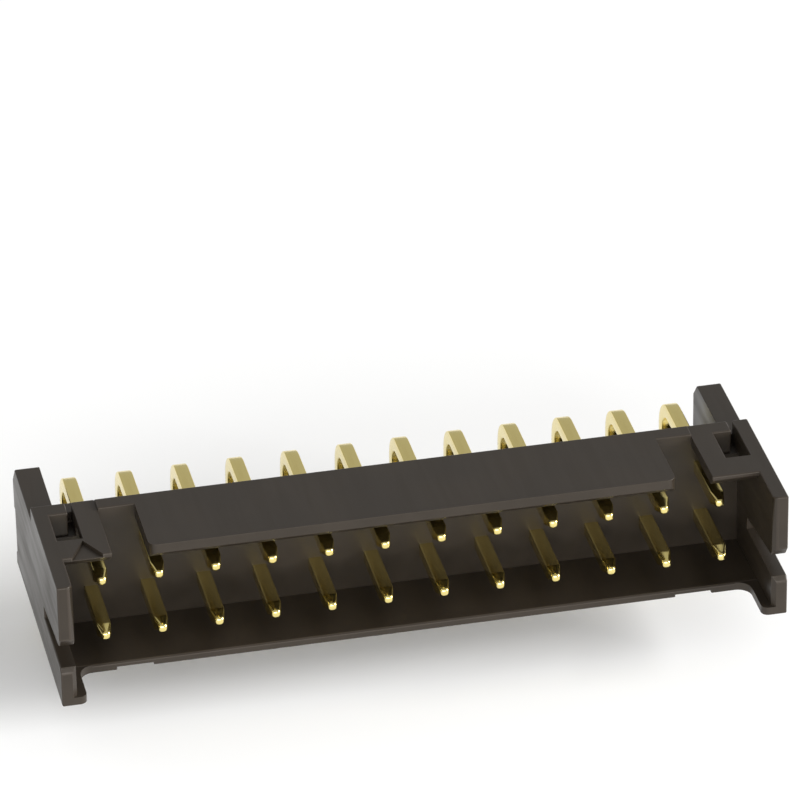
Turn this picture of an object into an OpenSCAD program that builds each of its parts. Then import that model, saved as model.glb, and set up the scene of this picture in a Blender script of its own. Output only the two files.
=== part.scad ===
// Right-angle pin header: two rows of square pins in a shrouded housing that sits on a board.
// X runs along the rows, -Y is the mating direction and +Z points up from the board.
// The board's top face is Z = 0 and Y = 0 is midway between the two rows of solder tails.
// All sizes are in millimetres.

/* [Contacts] */
// Contacts in each of the two rows
cols = 12; // [4:1:20]
// Distance between neighbouring contacts in a row
pitch = 2; // [1.8:0.05:2.6]
// Height of the lower row's centre above the board
lower_row_z = 1.5; // [1.4:0.05:2]
// Height of the upper row's centre above the lower row's centre
row_rise = 2; // [1.8:0.05:2.6]
// Width of the square wire
pin_w = 0.5; // [0.4:0.02:0.6]
// How far the lower row's tips stand out of the mouth
tip_proud = 0.15; // [0:0.05:0.6]
// How far the upper row's tips stand behind the lower row's tips
tip_stagger = 0.35; // [0:0.05:0.8]
// Length of the taper at a mating tip
tip_len = 0.5; // [0.3:0.05:0.8]
// Width of the flat that ends a mating tip
tip_w = 0.28; // [0.16:0.02:0.36]
// Inside radius of the bend behind the housing
bend_r = 0.7; // [0.5:0.05:0.9]

/* [Solder tails] */
// Distance between the two rows of tails on the board
tail_rows = 2; // [1.8:0.05:2.6]
// Distance from the rear wall to the nearer row of tails
tail_reach = 1.33; // [1.25:0.01:2]
// Length of a tail below the board's top face
tail_len = 2.3; // [1.6:0.1:4]
// Chamfer around the end of a tail
tail_chamfer = 0.1; // [0.05:0.01:0.15]

/* [Shroud] */
// Distance from the last contact's centre to the end face
end_margin = 1.9; // [1.7:0.05:2.6]
// Thickness of the floor
floor_t = 0.3; // [0.25:0.05:0.5]
// Thickness of the top wall
roof_t = 0.45; // [0.4:0.05:0.6]
// Clear height between the upper row and the top wall
roof_clear = 0.55; // [0.5:0.05:1]
// Depth of the cavity from its mouth to the rear wall
cavity_depth = 2.9; // [2.6:0.1:4.5]
// Thickness of the rear wall
wall_t = 1.45; // [1.4:0.05:2]
// Height of the key wall above the end tabs
key_rise = 0.1; // [0.06:0.02:0.3]
// Corner radius at the front of the key wall
key_r = 0.3; // [0.15:0.05:0.5]
// Width of the gaps on both sides of the key wall
gap_w = 1.3; // [0.9:0.05:1.4]
// Depth of the shallow reliefs under the floor
relief_depth = 0.1; // [0.06:0.01:0.14]
// Chamfer inside the mouth, under the key wall
lead_in = 0.2; // [0.1:0.02:0.24]
// Chamfer inside the mouth, under the tabs
tab_lead = 0.3; // [0.1:0.02:0.34]
// Chamfer inside the mouth, on the floor
floor_lead = 0.06; // [0.04:0.01:0.1]

/* [Rear wall] */
// Thickness of the rim that rises behind the cavity
rim_t = 0.65; // [0.5:0.05:0.75]
// How far the rim's end bars reach behind the rim
bar_extra = 0.15; // [0.08:0.01:0.18]
// Width of the groove behind the rim
groove_w = 0.25; // [0.2:0.01:0.3]
// Depth of the groove below the ledge
groove_depth = 0.3; // [0.2:0.02:0.36]
// Drop from the end tabs to the ledge behind the groove
ledge_drop = 0.45; // [0.3:0.05:0.5]
// How far the ledge lies over each ear
ledge_over = 0.35; // [0.2:0.05:0.4]
// Corner radius of the ledge
ledge_r = 0.3; // [0.15:0.05:0.35]

/* [End prongs] */
// Reach of the prongs ahead of the mouth
prong_reach = 1.9; // [1.2:0.1:3]
// Thickness of the end walls and of the prongs
end_t = 0.55; // [0.5:0.05:0.7]
// Chamfer at the inner front edge of a prong
prong_lead = 0.15; // [0.1:0.01:0.2]
// Height of the lower prongs
lower_h = 1.5; // [1.3:0.05:1.6]
// Length of the bevel at the top front edge of a lower prong
toe_l = 0.13; // [0.08:0.01:0.3]
// Height of the bevel at the top front edge of a lower prong
toe_h = 0.2; // [0.1:0.05:0.4]
// Width of the foot inside a lower prong
foot_w = 0.34; // [0.28:0.02:0.4]
// Corner radius at the front of a foot
foot_r = 0.25; // [0.1:0.05:0.25]
// Radius of the fillets between the floor and the feet
corner_r = 0.5; // [0.3:0.05:0.6]
// Height of the slot between the prongs at its closed end
slot_rear = 0.45; // [0.3:0.05:0.6]
// Height of the slot between the prongs at its open end
slot_front = 0.8; // [0.65:0.05:0.95]
// Length of the slot from the prongs' ends
slot_len = 3.45; // [2.8:0.05:4]
// Length of the bevel under the nose of an upper prong
nose_l = 0.25; // [0.15:0.05:0.4]
// Height of the bevel under the nose of an upper prong
nose_h = 0.35; // [0.2:0.05:0.5]

/* [Tab windows] */
// Length of a window ahead of the rear wall
window_l = 1.68; // [1.3:0.02:1.9]
// How far a window is cut into the rear wall
window_in = 0.1; // [0.06:0.02:0.2]
// Width of a window along the row
window_w = 0.88; // [0.7:0.02:0.9]
// Width of the slit that runs rearward from a window
slit_w = 0.22; // [0.2:0.02:0.4]
// Depth of the slit
slit_depth = 0.9; // [0.6:0.05:1.1]

/* [First-contact mark] */
// Width of the engraved triangle at the front edge
mark_w = 1.1; // [0.8:0.05:1.2]
// Length of the engraved triangle
mark_l = 1.05; // [0.6:0.05:1.1]
// Depth of the engraved triangle
mark_depth = 0.12; // [0.08:0.01:0.16]

/* [Ears and comb] */
// Thickness of the ears
ear_t = 0.9; // [0.85:0.05:1.1]
// Reach of the ears behind the rear wall
ear_reach = 3.55; // [3.4:0.05:5]
// Drop from the end tabs to the ears
ear_drop = 0.55; // [0.55:0.05:1]
// Length of the bevel at the top rear edge of an ear
ear_bevel_l = 0.6; // [0.3:0.05:0.8]
// Height of the bevel at the top rear edge of an ear
ear_bevel_h = 0.7; // [0.3:0.05:1]
// Depth of the notch in an ear's rear face
notch_depth = 0.2; // [0.16:0.02:0.3]
// Height of the notch in an ear's rear face
notch_h = 1.8; // [1.2:0.1:2]
// Height of the heel under the notch
heel_h = 0.5; // [0.3:0.05:0.7]
// Chamfer at the inner rear edge of an ear
ear_lead = 0.15; // [0.1:0.01:0.3]
// Width of a tooth between two neighbouring lower tails
tooth_w = 0.82; // [0.6:0.02:0.9]
// How far the teeth reach behind the nearer row of tails
tooth_proud = 0.16; // [0.06:0.02:0.4]
// Height of the comb's teeth
tooth_h = 2.55; // [2.2:0.05:2.8]
// Chamfer at the top rear edge of the teeth
tooth_chamfer = 0.1; // [0.06:0.02:0.3]

/* [Clearances] */
// Gap on each side of a pin in its hole
hole_clear = 0.02; // [0.01:0.005:0.04]
// Gap between a bent pin and the comb's anvil
bend_clear = 0.1; // [0.05:0.01:0.15]

/* [Hidden] */
$fn = 48;
eps = 0.01;
half_row = (cols - 1) * pitch / 2;
half_len = half_row + end_margin;
inner_x = half_len - end_t;
foot_x = inner_x - foot_w;
ear_x = half_len - ear_t;
upper_row_z = lower_row_z + row_rise;
tab_z = upper_row_z + pin_w / 2 + roof_clear + roof_t;
key_z = tab_z + key_rise;
roof_z = tab_z - roof_t;
ledge_z = tab_z - ledge_drop;
groove_z = ledge_z - groove_depth;
ear_z = tab_z - ear_drop;
slot_z = lower_h + slot_front;
near_tail_y = -tail_rows / 2;
far_tail_y = tail_rows / 2;
wall_y = near_tail_y - tail_reach;
cavity_y = wall_y - wall_t;
mouth_y = cavity_y - cavity_depth;
prong_y = mouth_y - prong_reach;
rim_y = cavity_y + rim_t;
bar_y = rim_y + bar_extra;
groove_y = rim_y + groove_w;
ear_y = wall_y + ear_reach;
slot_y = prong_y + slot_len;
gap_x = half_row - pitch / 2;
tab_x = gap_x + gap_w / 2;
key_x = gap_x - gap_w / 2;
window_x = inner_x - window_w;
mark_x = (tab_x + half_len) / 2 - end_t / 2;
lower_tip_y = mouth_y - tip_proud;
upper_tip_y = lower_tip_y + tip_stagger;
tooth_y = near_tail_y + pin_w / 2 + tooth_proud;
hole_w = pin_w + 2 * hole_clear;
bend_c = bend_r + pin_w / 2;
anvil_r = bend_r - bend_clear;
anvil_y = near_tail_y - pin_w / 2 - bend_clear;
anvil_z = lower_row_z - pin_w / 2 - bend_clear;
function column_x(i) = (i - 1) * pitch - half_row;
function pin_name(row, i) = str("pin_", row, i < 10 ? "_0" : "_", i);

// Block between two opposite corners
module block(low, high) {
    translate(low)
        cube(high - low);
}

// Outline in Y and Z, extruded along X from x0 to x1
module along_x(x0, x1) {
    translate([x0, 0, 0])
        rotate([90, 0, 90])
            linear_extrude(x1 - x0)
                children();
}

// Outline in X and Y, extruded upward from z0 to z1
module upward(z0, z1) {
    translate([0, 0, z0])
        linear_extrude(z1 - z0)
            children();
}

// The same shape at the +X end and, mirrored, at the -X end
module both_ends() {
    children();
    mirror([1, 0, 0])
        children();
}

// Flat rectangle whose two front corners are rounded
module rounded_front(x0, x1, y0, y1, r) {
    translate([x0, y0 + r])
        square([x1 - x0, y1 - y0 - r]);
    translate([x0 + r, y0])
        square([x1 - x0 - 2 * r, 2 * r]);
    for (x = [x0 + r, x1 - r])
        translate([x, y0 + r])
            circle(r = r);
}

// Side outline of the key wall or a tab, with the chamfer inside the mouth
module roof_outline(top, lead) {
    polygon([
        [mouth_y, top],
        [mouth_y, roof_z + lead],
        [mouth_y + lead, roof_z],
        [rim_y, roof_z],
        [rim_y, top]
    ]);
}

module key_wall() {
    intersection() {
        along_x(-key_x, key_x)
            roof_outline(key_z, lead_in);
        upward(roof_z - eps, key_z + eps)
            rounded_front(-key_x, key_x, mouth_y, rim_y + key_r, key_r);
    }
}

module tab() {
    along_x(tab_x, half_len)
        roof_outline(tab_z, tab_lead);
}

module bottom_wall() {
    along_x(-inner_x - eps, inner_x + eps)
        polygon([
            [mouth_y, 0],
            [mouth_y, floor_t - floor_lead],
            [mouth_y + floor_lead, floor_t],
            [cavity_y + eps, floor_t],
            [cavity_y + eps, 0]
        ]);
}

module rear_wall() {
    block([-half_len, cavity_y, 0], [half_len, wall_y, ear_z - groove_depth]);
    block([-inner_x, cavity_y, 0], [inner_x, wall_y, groove_z]);
    block([-tab_x, cavity_y, 0], [tab_x, rim_y, key_z]);
    upward(groove_z - eps, ledge_z)
        rounded_front(-ear_x - ledge_over, ear_x + ledge_over, groove_y, wall_y, ledge_r);
}

// Bar behind a tab's window
module end_bar() {
    block([tab_x, cavity_y, groove_z - eps], [half_len, bar_y, tab_z]);
}

// Chamfer cut from the inner front edge of a prong
module prong_bevel() {
    upward(-eps, tab_z + eps)
        polygon([
            [inner_x - eps, prong_y - eps],
            [inner_x + prong_lead, prong_y - eps],
            [inner_x + prong_lead, prong_y],
            [inner_x, prong_y + prong_lead],
            [inner_x - eps, prong_y + prong_lead]
        ]);
}

// Upper prong with the end wall behind it
module upper_prong() {
    difference() {
        along_x(inner_x, half_len)
            polygon([
                [prong_y, tab_z],
                [prong_y, slot_z + nose_h],
                [prong_y + nose_l, slot_z],
                [slot_y, lower_h + slot_rear],
                [slot_y, 0],
                [bar_y, 0],
                [bar_y, tab_z]
            ]);
        prong_bevel();
    }
}

// Lower prong with the end wall under the slot
module lower_prong() {
    difference() {
        along_x(inner_x, half_len)
            polygon([
                [prong_y, 0],
                [prong_y, lower_h - toe_h],
                [prong_y + toe_l, lower_h],
                [cavity_y + eps, lower_h],
                [cavity_y + eps, 0]
            ]);
        prong_bevel();
    }
}

// Strip of the floor that runs forward inside a lower prong
module foot() {
    upward(0, floor_t) {
        translate([foot_x, prong_y + foot_r])
            square([foot_w + eps, prong_reach - foot_r + eps]);
        translate([foot_x + foot_r, prong_y])
            square([foot_w - foot_r + prong_lead + eps, prong_reach]);
        translate([foot_x + foot_r, prong_y + foot_r])
            circle(r = foot_r);
        difference() {
            translate([foot_x - corner_r, mouth_y - corner_r])
                square([corner_r + eps, corner_r + eps]);
            translate([foot_x - corner_r, mouth_y - corner_r])
                circle(r = corner_r);
        }
    }
}

// Ear with a bevel at the top of its rear face and a notch above its heel
module ear() {
    difference() {
        along_x(ear_x, half_len)
            polygon([
                [cavity_y, 0],
                [ear_y, 0],
                [ear_y, heel_h],
                [ear_y - notch_depth, heel_h],
                [ear_y - notch_depth, heel_h + notch_h],
                [ear_y, heel_h + notch_h],
                [ear_y, ear_z - ear_bevel_h],
                [ear_y - ear_bevel_l, ear_z],
                [cavity_y, ear_z]
            ]);
        upward(-eps, ear_z + eps)
            polygon([
                [ear_x - eps, ear_y - ear_lead],
                [ear_x, ear_y - ear_lead],
                [ear_x + ear_lead, ear_y],
                [ear_x + ear_lead, ear_y + eps],
                [ear_x - eps, ear_y + eps]
            ]);
    }
}

// Teeth between the lower tails, with a rounded anvil under each bend
module comb() {
    difference() {
        along_x(-ear_x - eps, ear_x + eps)
            polygon([
                [wall_y - eps, 0],
                [tooth_y, 0],
                [tooth_y, tooth_h - tooth_chamfer],
                [tooth_y - tooth_chamfer, tooth_h],
                [wall_y - eps, tooth_h]
            ]);
        for (i = [1:cols])
            translate([column_x(i), 0, 0])
                along_x(-(pitch - tooth_w) / 2, (pitch - tooth_w) / 2)
                    difference() {
                        translate([wall_y, -eps])
                            square([tooth_y - wall_y + eps, tooth_h + 2 * eps]);
                        translate([wall_y - eps, -2 * eps])
                            square([anvil_y - wall_y + eps, anvil_z - anvil_r + 2 * eps]);
                        translate([wall_y - eps, -2 * eps])
                            square([anvil_y - anvil_r - wall_y + eps, anvil_z + 2 * eps]);
                        translate([anvil_y - anvil_r, anvil_z - anvil_r])
                            circle(r = anvil_r);
                    }
    }
}

module pin_holes() {
    for (i = [1:cols], z = [lower_row_z, upper_row_z])
        translate([column_x(i) - hole_w / 2, cavity_y - 1, z - hole_w / 2])
            cube([hole_w, wall_t + 2, hole_w]);
}

// Window with a slit on its +X side, at the end given by side
module window(side) {
    x0 = side > 0 ? window_x : -inner_x;
    x1 = x0 + window_w;
    block([x0, cavity_y - window_l, tab_z - slit_depth], [x1, cavity_y + window_in, tab_z + 1]);
    block([x1 - slit_w, cavity_y, tab_z - slit_depth], [x1, bar_y + eps, tab_z + 1]);
}

module first_mark() {
    upward(tab_z - mark_depth, tab_z + 1)
        polygon([
            [-mark_x - mark_w / 2, mouth_y - eps],
            [-mark_x + mark_w / 2, mouth_y - eps],
            [-mark_x, mouth_y + mark_l]
        ]);
}

module floor_relief() {
    block([key_x, mouth_y - 1, -1], [tab_x, cavity_y, relief_depth]);
}

module housing() {
    color("#2c2724")
        difference() {
            union() {
                rear_wall();
                bottom_wall();
                key_wall();
                comb();
                both_ends() {
                    tab();
                    end_bar();
                    upper_prong();
                    lower_prong();
                    foot();
                    ear();
                }
            }
            pin_holes();
            window(1);
            window(-1);
            first_mark();
            both_ends()
                floor_relief();
        }
}

// Side outline of a bent pin with both ends tapered
module pin_outline(row_z, tip_y, tail_y) {
    h = pin_w / 2;
    polygon([
        [tip_y, row_z - tip_w / 2],
        [tip_y + tip_len, row_z - h],
        [tail_y - bend_c, row_z - h],
        [tail_y - bend_c, row_z + h],
        [tip_y + tip_len, row_z + h],
        [tip_y, row_z + tip_w / 2]
    ]);
    polygon([
        [tail_y - h, row_z - bend_c],
        [tail_y - h, tail_chamfer - tail_len],
        [tail_y - h + tail_chamfer, -tail_len],
        [tail_y + h - tail_chamfer, -tail_len],
        [tail_y + h, tail_chamfer - tail_len],
        [tail_y + h, row_z - bend_c]
    ]);
    translate([tail_y - bend_c, row_z - bend_c])
        intersection() {
            difference() {
                circle(r = bend_r + pin_w);
                circle(r = bend_r);
            }
            square(bend_r + pin_w);
        }
}

// Pin on X = 0, with its sides tapered at both ends
module pin(row_z, tip_y, tail_y) {
    h = pin_w / 2;
    color("#d9b24a")
        difference() {
            along_x(-h, h)
                pin_outline(row_z, tip_y, tail_y);
            both_ends()
                upward(row_z - pin_w, row_z + pin_w)
                    polygon([
                        [tip_w / 2, tip_y - eps],
                        [tip_w / 2, tip_y],
                        [h, tip_y + tip_len],
                        [h + eps, tip_y + tip_len],
                        [h + eps, tip_y - eps]
                    ]);
            both_ends()
                translate([0, tail_y + pin_w, 0])
                    rotate([90, 0, 0])
                        linear_extrude(2 * pin_w)
                            polygon([
                                [h - tail_chamfer, -tail_len - eps],
                                [h - tail_chamfer, -tail_len],
                                [h, tail_chamfer - tail_len],
                                [h + eps, tail_chamfer - tail_len],
                                [h + eps, -tail_len - eps]
                            ]);
        }
}

module pin_upper(i) {
    translate([column_x(i), 0, 0])
        pin(upper_row_z, upper_tip_y, far_tail_y);
}

module pin_lower(i) {
    translate([column_x(i), 0, 0])
        pin(lower_row_z, lower_tip_y, near_tail_y);
}

housing();
for (i = [1:cols]) {
    pin_upper(i);
    pin_lower(i);
}
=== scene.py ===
"""Looks of a right-angle pin header: one dark moulded housing and two rows of bent gold pins.

Lengths are in metres, or in millimetres where a name ends in MM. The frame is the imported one: X runs along
the rows, -Y out of the mouth and +Z up from the board.
"""
import itertools
import math

import bmesh
import bpy
import numpy as np
from mathutils import Matrix, Vector
from mathutils.geometry import intersect_point_line


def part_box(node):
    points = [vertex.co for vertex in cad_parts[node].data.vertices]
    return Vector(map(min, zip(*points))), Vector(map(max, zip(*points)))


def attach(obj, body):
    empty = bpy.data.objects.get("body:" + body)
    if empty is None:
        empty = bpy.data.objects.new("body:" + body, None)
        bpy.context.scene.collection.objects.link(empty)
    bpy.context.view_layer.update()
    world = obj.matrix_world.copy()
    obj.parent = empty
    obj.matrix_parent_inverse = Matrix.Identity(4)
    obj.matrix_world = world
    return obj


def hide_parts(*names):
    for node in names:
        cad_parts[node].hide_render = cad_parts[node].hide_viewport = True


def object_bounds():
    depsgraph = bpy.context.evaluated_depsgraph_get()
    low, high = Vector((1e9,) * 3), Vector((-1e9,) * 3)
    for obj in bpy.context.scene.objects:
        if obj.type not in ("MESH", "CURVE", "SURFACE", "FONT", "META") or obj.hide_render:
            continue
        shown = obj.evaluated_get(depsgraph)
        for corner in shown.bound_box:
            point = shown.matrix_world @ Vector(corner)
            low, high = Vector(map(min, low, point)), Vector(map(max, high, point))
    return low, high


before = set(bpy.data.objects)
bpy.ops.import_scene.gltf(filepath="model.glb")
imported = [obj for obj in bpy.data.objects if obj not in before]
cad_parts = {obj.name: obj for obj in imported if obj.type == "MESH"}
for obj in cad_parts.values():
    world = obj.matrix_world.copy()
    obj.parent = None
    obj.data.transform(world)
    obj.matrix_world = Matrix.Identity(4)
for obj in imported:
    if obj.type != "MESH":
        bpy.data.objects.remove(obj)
cad_low, cad_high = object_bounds()

MM = 0.001
QUARTER_TURN = math.pi / 2
SQUARE_CORNERS = 4
X_AND_Z = [0, 2]
OPAQUE = 1.0

# Housing edges: largest radius, steps across it, and its share of the room beside an edge and along it
EDGE_RADIUS_MM = 0.055
EDGE_STEPS = 3
BESIDE_SHARE = 0.35
ALONG_SHARE = 0.7

# Turns: least between the two faces of a rounded edge, most between edges of one run, and most by which an
# edge may lean and still run back along another
EDGE_ANGLE = math.radians(25)
RUN_ANGLE = math.radians(50)
BACK_ANGLE = math.radians(60)

# Turns: most between triangles of one flat face, and least between faces that keep a sharp line
FLAT_ANGLE = math.radians(0.5)
SHARP_ANGLE = math.radians(50)

# Points closer than this are one, in the copy of the CAD mesh and in the rounded housing
WELD_MM = 0.012
MERGE_MM = 0.001

# Pin holes: how far a hole's corners may lie from its centre, and how far they lie when they grip the wire
HOLE_REACH_MM = 0.3
HOLE_GRIP_MM = 0.245

# Pins: inside radius of the bend, taper of the mating tip and chamfer of the tail
BEND_INSIDE = 0.7 * MM
TIP_LENGTH = 0.5 * MM
TIP_WIDTH = 0.28 * MM
TAIL_CHAMFER = 0.1 * MM

# Pins: corner radius of the wire and of the tip as shares of the half width, and rounding of both ends
WIRE_CORNER = 0.2
TIP_CORNER = 0.85
END_ROUND = 0.05 * MM
TIP_ROUND = 0.1 * MM

# Pins: points on a corner of the outline, stations on a rounded end and on a taper, steps through the bend
CORNER_POINTS = 5
ROUND_STEPS = 5
BEND_STEPS = 16

# Noise: detail of clouds and grain, and the range that its values hardly leave
CLOUD_DETAIL = 4.0
GRAIN_DETAIL = 2.0
NOISE_RANGE = (0.3, 0.7)
FULL_RANGE = (0.0, 1.0)

# Plastic: dark and pale tone of the body, the paler tone of the painted highlight on the rounded edge strips,
# strength and tint of its sheen
PLASTIC_TONES = ((0.0205, 0.0157, 0.0110), (0.0255, 0.0195, 0.0138))
PAINTED_EDGE_HIGHLIGHT = (0.0295, 0.0226, 0.0165)
PLASTIC_SHEEN = 0.38
SHEEN_TINT = (1.0, 0.94, 0.88)

# Plastic: roughness that the clouds give, what the streaks add, and height and strength of the grain
CLOUD_ROUGHNESS = (0.31, 0.38)
STREAK_ROUGHNESS = (-0.02, 0.08)
PLASTIC_GRAIN_HEIGHT = 0.004 * MM
PLASTIC_GRAIN_STRENGTH = 0.35

# Plastic: clouds, grain and streaks in a metre, and the streaks' scale on each axis, least along the draw
CLOUDS_A_METRE = 420.0
GRAIN_A_METRE = 26000.0
STREAKS_A_METRE = 2200.0
DRAW_SCALE = (1.0, 0.08, 1.0)

# Gold: deep and pale tone, roughness, and height and strength of the grain
GOLD_TONES = ((0.80, 0.665, 0.25), (0.86, 0.725, 0.29))
GOLD_ROUGHNESS = (0.18, 0.24)
GOLD_GRAIN_HEIGHT = 0.002 * MM
GOLD_GRAIN_STRENGTH = 0.1

# Gold: clouds and grain in a millimetre of wire, and their scale along the wire and round it
CLOUDS_A_MM = 1.0
GRAIN_A_MM = 6.0
WIRE_SCALE = (0.5, 5.0, 1.0)

# Floor: half its width, how far it lies under the lowest point, tone, roughness and sheen
FLOOR_HALF = 2.0
FLOOR_GAP = 0.02 * MM
FLOOR_TONE = (0.95, 0.95, 0.945)
FLOOR_ROUGHNESS = 0.85
FLOOR_SHEEN = 0.2

# Lights: place and size, power in watts, and tone and strength of the pale surround
FRONT_LIGHT = {"place": (-0.13, -0.48, 0.14), "size": (0.60, 0.20), "power": 2.2}
RIGHT_LIGHT = {"place": (0.47, -0.17, 0.18), "size": (0.30, 0.20), "power": 4.3}
SURROUND_TONE = (1.0, 1.0, 1.0)
SURROUND_STRENGTH = 0.50

# Camera: place, looking angles and lens of the pictured front view, and how near and far it sees
CAMERA_PLACE = (-37.235 * MM, -183.133 * MM, 112.877 * MM)
CAMERA_AZIMUTH = math.radians(-11.774)
CAMERA_ELEVATION = math.radians(29.860)
CAMERA_ROLL = math.radians(1.036)
CAMERA_LENS_MM = 273.08
CAMERA_SENSOR_MM = 36.0
CAMERA_NEAR = 0.01
CAMERA_FAR = 10.0


# Pieces

def link(name, mesh):
    """New object at the origin that holds the mesh."""
    piece = bpy.data.objects.new(name, mesh)
    bpy.context.scene.collection.objects.link(piece)
    return piece


def dress(piece, node, material):
    """The piece stands for a CAD node, moves with the part and wears one material."""
    piece.data.materials.clear()
    piece.data.materials.append(material)
    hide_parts(node)
    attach(piece, "root")


def pin_nodes():
    """Names of the CAD nodes that are pins."""
    return sorted(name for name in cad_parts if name.startswith("pin_"))


# Housing

def welded_copy(node):
    """Copy of a CAD node's mesh in millimetres, its points welded and its flat triangles made whole faces."""
    work = bmesh.new()
    work.from_mesh(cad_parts[node].data)
    bmesh.ops.scale(work, vec=(1 / MM, 1 / MM, 1 / MM), verts=work.verts)
    bmesh.ops.remove_doubles(work, verts=work.verts, dist=WELD_MM)
    bmesh.ops.dissolve_limit(work, angle_limit=FLAT_ANGLE, verts=work.verts, edges=work.edges)
    return work


def hole_centres():
    """Places of the pin holes in X and Z, in millimetres, from the pins' own boxes."""
    places = []
    for name in pin_nodes():
        low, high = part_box(name)
        half = (high.x - low.x) / 2
        places.append(((low.x + high.x) / 2 / MM, (high.z - half) / MM))
    return np.array(places)


def grip_pins(mesh):
    """Pin holes drawn in until they touch the wire.

    Each corner of a hole goes, in X and Z, to the hole's centre plus or minus the grip, on its own side.
    """
    places = np.zeros(3 * len(mesh.vertices), np.float32)
    mesh.vertices.foreach_get("co", places)
    places = places.reshape(-1, 3)
    centres = hole_centres()
    offset = places[:, None, X_AND_Z] - centres
    reach = np.abs(offset).max(axis=2)
    corner = np.flatnonzero(reach.min(axis=1) < HOLE_REACH_MM)
    hole = reach[corner].argmin(axis=1)
    places[corner[:, None], X_AND_Z] = centres[hole] + HOLE_GRIP_MM * np.sign(offset[corner, hole])
    mesh.vertices.foreach_set("co", places.ravel())


def gap_between(one, two):
    """Least distance of two edges that don't cross: from an end of one to the nearest point of the other."""
    gap = math.inf
    for ends, line in ((one, two), (two, one)):
        start, finish = (point.co for point in line.verts)
        for point in ends.verts:
            share = intersect_point_line(point.co, start, finish)[1]
            nearest = start.lerp(finish, min(max(share, 0.0), 1.0))
            gap = min(gap, (point.co - nearest).length)
    return gap


def run_of(corner):
    """Way from a corner of a face to the next one along its outline."""
    return corner.link_loop_next.vert.co - corner.vert.co


def half_turn(before, corner):
    """Tangent of half the outline's turn at a corner, below zero where the outline turns inward."""
    first, second = run_of(before), run_of(corner)
    outward = math.copysign(1.0, first.cross(second).dot(corner.face.normal))
    return outward * math.tan(first.angle(second) / 2)


def room_along(corner):
    """Radius that uses up an edge of an outline from both ends: its length over the sum of its half turns."""
    used = half_turn(corner.link_loop_prev, corner) + half_turn(corner, corner.link_loop_next)
    return run_of(corner).length / used if used > 0 else math.inf


def room_beside(corner):
    """Least gap between an edge of an outline and the edges that run back along the same face."""
    ahead = run_of(corner)
    facing = [other.edge for other in corner.face.loops if ahead.angle(-run_of(other)) < BACK_ANGLE]
    return min((gap_between(corner.edge, edge) for edge in facing), default=math.inf)


def edge_radius(edge):
    """Full radius, or the share of the least room that the edge and its neighbours have on both faces."""
    radius = EDGE_RADIUS_MM
    for corner in edge.link_loops:
        radius = min(radius, BESIDE_SHARE * room_beside(corner))
        for near in (corner.link_loop_prev, corner, corner.link_loop_next):
            radius = min(radius, ALONG_SHARE * room_along(near))
    return radius


def match_runs(point, weights):
    """Edges that run on through a point with little turn get the lesser share; true if one changed."""
    changed = False
    rounded = [edge for edge in point.link_edges if edge[weights] > 0]
    for one, two in itertools.combinations(rounded, 2):
        ahead = one.other_vert(point).co - point.co
        behind = point.co - two.other_vert(point).co
        if ahead.angle(behind) < RUN_ANGLE and one[weights] != two[weights]:
            one[weights] = two[weights] = min(one[weights], two[weights])
            changed = True
    return changed


def edge_weights(work):
    """Share of the full edge radius that each edge gets.

    It is nothing at inside corners and pin holes, less than all where there is little room, and the same
    along a run of edges: the shares at each point are matched until none changes.
    """
    holes = hole_centres()
    weights = work.edges.layers.float.new("bevel_weight_edge")
    for edge in work.edges:
        if len(edge.link_faces) != 2 or edge.calc_face_angle(0) < EDGE_ANGLE:
            continue
        ends = np.array([[point.co.x, point.co.z] for point in edge.verts])
        inside = np.abs(ends[:, None, :] - holes).max(axis=2) < HOLE_REACH_MM
        if inside.all(axis=0).any() or not edge.is_convex:
            edge.smooth = False
        else:
            edge[weights] = edge_radius(edge) / EDGE_RADIUS_MM
    changed = True
    while changed:
        changed = any([match_runs(point, weights) for point in work.verts])


def flat_shading(mesh):
    """Shading normals that keep flat faces flat, one for each corner of each face.

    A corner's normal is the sum of the normals of all faces round its point that lean less than the sharp
    angle from its own face, each times its area, brought to length one.
    """
    point = np.zeros(len(mesh.loops), np.int32)
    corners = np.zeros(len(mesh.polygons), np.int32)
    area = np.zeros(len(mesh.polygons), np.float32)
    normal = np.zeros(3 * len(mesh.polygons), np.float32)
    mesh.loops.foreach_get("vertex_index", point)
    for field, values in (("loop_total", corners), ("area", area), ("normal", normal)):
        mesh.polygons.foreach_get(field, values)
    owner = np.repeat(np.arange(len(corners)), corners)
    normal = normal.reshape(-1, 3)[owner]

    # Every pair of corners that meet at a point: own is the one, other the corner whose face it may take in
    by_point = np.argsort(point, kind="stable")
    shared = np.bincount(point)
    start = np.cumsum(shared) - shared
    mates = shared[point]
    own = np.repeat(np.arange(len(point)), mates)
    turn = np.arange(len(own)) - np.repeat(np.cumsum(mates) - mates, mates)
    other = by_point[np.repeat(start[point], mates) + turn]

    near = (normal[own] * normal[other]).sum(axis=1) > math.cos(SHARP_ANGLE)
    total = np.zeros((len(point), 3))
    np.add.at(total, own, (area[owner[other]] * near)[:, None] * normal[other])
    return total / np.linalg.norm(total, axis=1, keepdims=True)


def round_edges(name, mesh, edge_slot):
    """New mesh with the weighted edges rounded, whose strips wear the given slot."""
    blank = link(name, mesh)
    bevel = blank.modifiers.new("rounded edges", "BEVEL")
    bevel.width = EDGE_RADIUS_MM
    bevel.segments = EDGE_STEPS
    bevel.limit_method = "WEIGHT"
    bevel.use_clamp_overlap = False
    bevel.loop_slide = False
    bevel.material = edge_slot
    closing = blank.modifiers.new("merged points", "WELD")
    closing.merge_threshold = MERGE_MM
    graph = bpy.context.evaluated_depsgraph_get()
    made = bpy.data.meshes.new_from_object(blank.evaluated_get(graph))
    bpy.data.objects.remove(blank)
    return made


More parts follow.
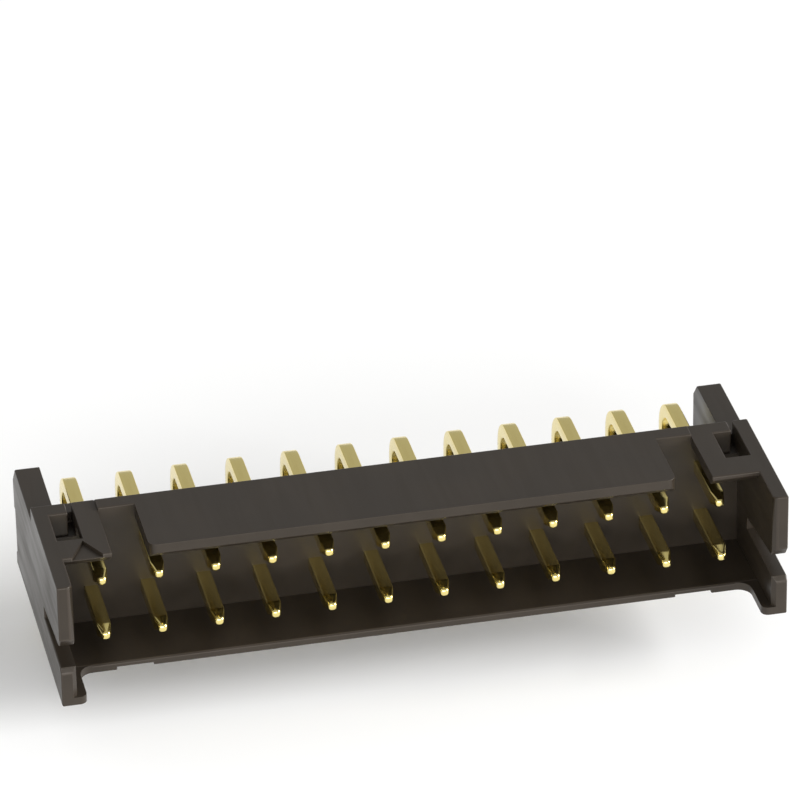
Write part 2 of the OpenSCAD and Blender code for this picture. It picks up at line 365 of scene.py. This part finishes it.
def rounded_housing(name, node):
    """Housing with its moulded edges rounded.

    The edges are rounded in millimetres, then the mesh is scaled to metres. Its attribute "edge" is 1 on the
    rounded strips and 0 on the other faces.
    """
    work = welded_copy(node)
    edge_weights(work)
    for face in work.faces:
        face.smooth = True
    mesh = bpy.data.meshes.new(name)
    work.to_mesh(mesh)
    work.free()
    grip_pins(mesh)
    slots = ("flat", "edge")
    for slot in slots:
        mesh.materials.append(bpy.data.materials.new(slot))
    made = round_edges(name + "_blank", mesh, slots.index("edge"))
    facing = flat_shading(made)
    made.transform(Matrix.Scale(MM, 4))
    made.normals_split_custom_set(facing.tolist())
    on_edge = np.zeros(len(made.polygons), np.int32)
    made.polygons.foreach_get("material_index", on_edge)
    made.attributes.new("edge", "FLOAT", "FACE").data.foreach_set("value", on_edge.astype(np.float32))
    made.polygons.foreach_set("material_index", np.zeros(len(made.polygons), np.int32))
    return link(name, made)


# Pins

def rounded_square(corner):
    """Outlines of squares of half width 1 whose corners are quarter circles, one row for each corner radius.

    A point is its circle's centre plus the corner radius times the cosine and sine of evenly stepped angles.
    """
    quarter = np.repeat(np.arange(SQUARE_CORNERS) * QUARTER_TURN, CORNER_POINTS)[None]
    angle = quarter + np.tile(np.linspace(0, QUARTER_TURN, CORNER_POINTS), SQUARE_CORNERS)[None]
    corner = np.asarray(corner)[:, None]
    reach = (1 - corner) * math.sqrt(2)
    across = reach * np.cos(quarter + QUARTER_TURN / 2) + corner * np.cos(angle)
    upward = reach * np.sin(quarter + QUARTER_TURN / 2) + corner * np.sin(angle)
    return across, upward


def pin_path(tip_y, row_z, tail_y, tail_z, half):
    """Centre line of a bent pin in Y and Z, with its angle, half width, length and corner at each station.

    The line runs straight in from the tip, turns a quarter circle and runs straight down the tail. The half
    width is the lesser of the tip's taper and the tail's chamfer, less a quarter circle's round at both ends.
    The corner radius falls from the nearly round tip to the wire's own along the taper.
    """
    radius = BEND_INSIDE + half
    bend_y = tail_y - radius
    bend_z = row_z - radius
    quarter = np.linspace(0, QUARTER_TURN, ROUND_STEPS)
    tip = TIP_ROUND * (1 - np.cos(quarter))
    taper_steps = np.linspace(TIP_ROUND, TIP_LENGTH, ROUND_STEPS)[1:]
    shank = np.concatenate([tip, taper_steps, [TIP_LENGTH + END_ROUND, bend_y - tip_y]])
    turn = np.linspace(0, QUARTER_TURN, BEND_STEPS + 1)[1:]
    chamfer_start = [TAIL_CHAMFER + 2 * END_ROUND, TAIL_CHAMFER]
    tail = bend_z - tail_z - np.concatenate([chamfer_start, END_ROUND * (1 - np.cos(quarter))[::-1]])
    y = np.concatenate([tip_y + shank, bend_y + radius * np.sin(turn), np.full(len(tail), tail_y)])
    z = np.concatenate([np.full(len(shank), row_z), bend_z + radius * np.cos(turn), bend_z - tail])
    angle = np.concatenate([np.zeros(len(shank)), turn, np.full(len(tail), QUARTER_TURN)])
    along = np.concatenate([[0], np.cumsum(np.hypot(np.diff(y), np.diff(z)))])
    to_end = along[-1] - along
    share = np.minimum(along / TIP_LENGTH, 1)
    taper = TIP_WIDTH / 2 + (half - TIP_WIDTH / 2) * share
    chamfer = half - TAIL_CHAMFER + to_end
    width = np.minimum(taper, chamfer)
    for ends, rounding in ((along, TIP_ROUND), (to_end, END_ROUND)):
        ends = np.minimum(ends, rounding)
        width = width - (rounding - np.sqrt(rounding ** 2 - (rounding - ends) ** 2))
    corner = TIP_CORNER + (WIRE_CORNER - TIP_CORNER) * share
    return y, z, angle, width, along, corner


def bent_pin(name, node):
    """Square wire with rounded corners, carried along a bent path.

    A point is the path's point, plus the outline's across value times the half width along X, plus its upward
    value times the half width along the path's normal, which turns from +Z to +Y through the bend. The map
    "wire" gives each point's length along the wire and round it, in millimetres.
    """
    low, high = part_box(node)
    half = (high.x - low.x) / 2
    centre_x = (low.x + high.x) / 2
    y, z, angle, width, along, corner_share = pin_path(low.y, high.z - half, high.y - half, low.z, half)
    across, upward = rounded_square(corner_share)
    rows, loop = across.shape
    points = np.empty((rows, loop, 3))
    points[..., 0] = centre_x + width[:, None] * across
    points[..., 1] = y[:, None] + (width * np.sin(angle))[:, None] * upward
    points[..., 2] = z[:, None] + (width * np.cos(angle))[:, None] * upward
    index = np.arange(rows * loop).reshape(rows, loop)
    ahead = np.roll(index, -1, axis=1)
    quads = np.stack([index[:-1], index[1:], ahead[1:], ahead[:-1]], axis=-1).reshape(-1, 4)
    faces = quads.tolist() + [index[0].tolist(), index[-1][::-1].tolist()]
    mesh = bpy.data.meshes.new(name)
    mesh.from_pydata(points.reshape(-1, 3).tolist(), [], faces)
    round_about = np.concatenate([[0], np.cumsum(np.hypot(np.diff(across[-1]), np.diff(upward[-1])))]) * half
    station = np.repeat(along, loop)
    girth = np.tile(round_about, rows)
    corner = np.zeros(len(mesh.loops), np.int32)
    mesh.loops.foreach_get("vertex_index", corner)
    wire_map = np.stack([station[corner], girth[corner]], axis=1) / MM
    mesh.uv_layers.new(name="wire").data.foreach_set("uv", wire_map.astype(np.float32).ravel())
    mesh.polygons.foreach_set("use_smooth", np.ones(len(mesh.polygons), bool))
    mesh.set_sharp_from_angle(angle=SHARP_ANGLE)
    return link(name, mesh)


# Materials

def new_material(name):
    """Material with an empty node tree, its shader and its output."""
    material = bpy.data.materials.new(name)
    material.use_nodes = True
    tree = material.node_tree
    tree.nodes.clear()
    output = tree.nodes.new("ShaderNodeOutputMaterial")
    shader = tree.nodes.new("ShaderNodeBsdfPrincipled")
    tree.links.new(shader.outputs["BSDF"], output.inputs["Surface"])
    return material, tree, shader


def grain_group():
    """Clouds and Grain, both 0 to 1: a wide and a fine noise on the same vector."""
    group = bpy.data.node_groups.new("cloud and grain", "ShaderNodeTree")
    face = group.interface
    face.new_socket("Vector", in_out="INPUT", socket_type="NodeSocketVector")
    face.new_socket("Cloud Scale", in_out="INPUT", socket_type="NodeSocketFloat")
    face.new_socket("Grain Scale", in_out="INPUT", socket_type="NodeSocketFloat")
    face.new_socket("Clouds", in_out="OUTPUT", socket_type="NodeSocketFloat")
    face.new_socket("Grain", in_out="OUTPUT", socket_type="NodeSocketFloat")
    start = group.nodes.new("NodeGroupInput")
    end = group.nodes.new("NodeGroupOutput")
    noises = (("Cloud Scale", "Clouds", CLOUD_DETAIL), ("Grain Scale", "Grain", GRAIN_DETAIL))
    for scale, output, detail in noises:
        noise = group.nodes.new("ShaderNodeTexNoise")
        noise.inputs["Detail"].default_value = detail
        group.links.new(start.outputs["Vector"], noise.inputs["Vector"])
        group.links.new(start.outputs[scale], noise.inputs["Scale"])
        group.links.new(noise.outputs["Fac"], end.inputs[output])
    return group


def grain_node(tree, vector, cloud_scale, grain_scale):
    """Placed copy of the cloud and grain group with its own scales."""
    node = tree.nodes.new("ShaderNodeGroup")
    node.node_tree = GRAIN
    node.inputs["Cloud Scale"].default_value = cloud_scale
    node.inputs["Grain Scale"].default_value = grain_scale
    tree.links.new(vector, node.inputs["Vector"])
    return node


def scaled_vector(tree, vector, scale):
    """Vector with its three parts scaled, which draws a pattern out along the axis of least scale."""
    mapping = tree.nodes.new("ShaderNodeMapping")
    mapping.inputs["Scale"].default_value = scale
    tree.links.new(vector, mapping.inputs["Vector"])
    return mapping.outputs["Vector"]


def blend_colour(tree, share, first, second):
    """Colour that runs from the first to the second as share goes from 0 to 1."""
    mix = tree.nodes.new("ShaderNodeMix")
    mix.data_type = "RGBA"
    tree.links.new(share, mix.inputs["Factor"])
    colours = {socket.name: socket for socket in mix.inputs if socket.type == "RGBA"}
    for name, value in (("A", first), ("B", second)):
        if isinstance(value, bpy.types.NodeSocket):
            tree.links.new(value, colours[name])
        else:
            colours[name].default_value = (*value, OPAQUE)
    return next(socket for socket in mix.outputs if socket.type == "RGBA")


def stretch(tree, share, limits):
    """Value that runs from the lower to the upper limit as share goes through the noise's range."""
    node = tree.nodes.new("ShaderNodeMapRange")
    node.interpolation_type = "SMOOTHSTEP"
    for socket, value in zip(("From Min", "From Max", "To Min", "To Max"), NOISE_RANGE + limits):
        node.inputs[socket].default_value = value
    tree.links.new(share, node.inputs["Value"])
    return node.outputs["Result"]


def raise_grain(tree, shader, grain, strength, height):
    """Bump of the given height from the grain."""
    bump = tree.nodes.new("ShaderNodeBump")
    bump.inputs["Strength"].default_value = strength
    bump.inputs["Distance"].default_value = height
    tree.links.new(grain, bump.inputs["Height"])
    tree.links.new(bump.outputs["Normal"], shader.inputs["Normal"])


def moulded_plastic():
    """Warm near-black moulded plastic: cloudy tone, satin grain, streaks along the draw, and a painted
    highlight that makes the rounded edge strips paler.
    """
    material, tree, shader = new_material("moulded plastic")
    place = tree.nodes.new("ShaderNodeTexCoord").outputs["Object"]
    grain = grain_node(tree, place, CLOUDS_A_METRE, GRAIN_A_METRE)
    edge = tree.nodes.new("ShaderNodeAttribute")
    edge.attribute_name = "edge"
    body = blend_colour(tree, stretch(tree, grain.outputs["Clouds"], FULL_RANGE), *PLASTIC_TONES)
    # Painted highlight: the rounded edge strips are given a paler tone, standing in for the light that
    # rounded edges catch.
    tone = blend_colour(tree, edge.outputs["Fac"], body, PAINTED_EDGE_HIGHLIGHT)
    tree.links.new(tone, shader.inputs["Base Color"])
    streak = grain_node(tree, scaled_vector(tree, place, DRAW_SCALE), STREAKS_A_METRE, GRAIN_A_METRE)
    roughness = tree.nodes.new("ShaderNodeMath")
    roughness.operation = "ADD"
    for source, limits, part in zip((grain, streak), (CLOUD_ROUGHNESS, STREAK_ROUGHNESS), roughness.inputs):
        tree.links.new(stretch(tree, source.outputs["Clouds"], limits), part)
    tree.links.new(roughness.outputs["Value"], shader.inputs["Roughness"])
    shader.inputs["Specular IOR Level"].default_value = PLASTIC_SHEEN
    shader.inputs["Specular Tint"].default_value = (*SHEEN_TINT, OPAQUE)
    raise_grain(tree, shader, grain.outputs["Grain"], PLASTIC_GRAIN_STRENGTH, PLASTIC_GRAIN_HEIGHT)
    return material


def gold_plate():
    """Bright gold plating on drawn wire: faint streaks along the wire and a slight change of tone."""
    material, tree, shader = new_material("gold plate")
    wire = tree.nodes.new("ShaderNodeUVMap")
    wire.uv_map = "wire"
    streak = grain_node(tree, scaled_vector(tree, wire.outputs["UV"], WIRE_SCALE), CLOUDS_A_MM, GRAIN_A_MM)
    tone = blend_colour(tree, stretch(tree, streak.outputs["Clouds"], FULL_RANGE), *GOLD_TONES)
    tree.links.new(tone, shader.inputs["Base Color"])
    shader.inputs["Metallic"].default_value = 1.0
    tree.links.new(stretch(tree, streak.outputs["Grain"], GOLD_ROUGHNESS), shader.inputs["Roughness"])
    raise_grain(tree, shader, streak.outputs["Grain"], GOLD_GRAIN_STRENGTH, GOLD_GRAIN_HEIGHT)
    return material


def pale_floor():
    """Plain matte floor, nearly white."""
    material, tree, shader = new_material("pale floor")
    shader.inputs["Base Color"].default_value = (*FLOOR_TONE, OPAQUE)
    shader.inputs["Roughness"].default_value = FLOOR_ROUGHNESS
    shader.inputs["Specular IOR Level"].default_value = FLOOR_SHEEN
    return material


# Studio

def lay_floor():
    """Wide plane under the lowest point of the part."""
    level = cad_low.z - FLOOR_GAP
    corners = [(x * FLOOR_HALF, y * FLOOR_HALF, level) for x, y in ((-1, -1), (1, -1), (1, 1), (-1, 1))]
    mesh = bpy.data.meshes.new("floor")
    mesh.from_pydata(corners, [], [range(len(corners))])
    mesh.materials.append(pale_floor())
    link("floor", mesh)


def soft_light(name, aim, place, size, power):
    """Oblong area light that faces the aim point."""
    lamp = bpy.data.lights.new(name, "AREA")
    lamp.shape = "RECTANGLE"
    lamp.size, lamp.size_y = size
    lamp.energy = power
    light = bpy.data.objects.new(name, lamp)
    light.location = place
    light.rotation_mode = "QUATERNION"
    light.rotation_quaternion = (aim - Vector(place)).to_track_quat("-Z", "Y")
    bpy.context.scene.collection.objects.link(light)


def light_studio():
    """Pale surround with a wide low light in front and a stronger one at the right."""
    world = bpy.data.worlds.new("studio")
    world.use_nodes = True
    surround = world.node_tree.nodes["Background"]
    surround.inputs["Color"].default_value = (*SURROUND_TONE, OPAQUE)
    surround.inputs["Strength"].default_value = SURROUND_STRENGTH
    bpy.context.scene.world = world
    middle = (cad_low + cad_high) / 2
    soft_light("front", middle, **FRONT_LIGHT)
    soft_light("right side", middle, **RIGHT_LIGHT)


def set_camera():
    """Camera at the pictured angle: level axes from azimuth and elevation, then turned by the roll."""
    back = Vector((
        math.sin(CAMERA_AZIMUTH) * math.cos(CAMERA_ELEVATION),
        -math.cos(CAMERA_AZIMUTH) * math.cos(CAMERA_ELEVATION),
        math.sin(CAMERA_ELEVATION),
    ))
    level_right = Vector((0, 0, 1)).cross(back).normalized()
    level_up = back.cross(level_right)
    right = level_right * math.cos(CAMERA_ROLL) - level_up * math.sin(CAMERA_ROLL)
    up = level_right * math.sin(CAMERA_ROLL) + level_up * math.cos(CAMERA_ROLL)
    lens = bpy.data.cameras.new("front view")
    lens.sensor_width = CAMERA_SENSOR_MM
    lens.lens = CAMERA_LENS_MM
    lens.clip_start = CAMERA_NEAR
    lens.clip_end = CAMERA_FAR
    camera = bpy.data.objects.new("front view", lens)
    axes = Matrix((right, up, back)).transposed().to_4x4()
    camera.matrix_world = Matrix.Translation(CAMERA_PLACE) @ axes
    bpy.context.scene.collection.objects.link(camera)
    bpy.context.scene.camera = camera


GRAIN = grain_group()
PLASTIC = moulded_plastic()
GOLD = gold_plate()

set_camera()
lay_floor()
light_studio()
bpy.context.scene.view_settings.view_transform = "Standard"

dress(rounded_housing("moulded_housing", "housing"), "housing", PLASTIC)
for pin_node in pin_nodes():
    dress(bent_pin("bent_" + pin_node, pin_node), pin_node, GOLD)
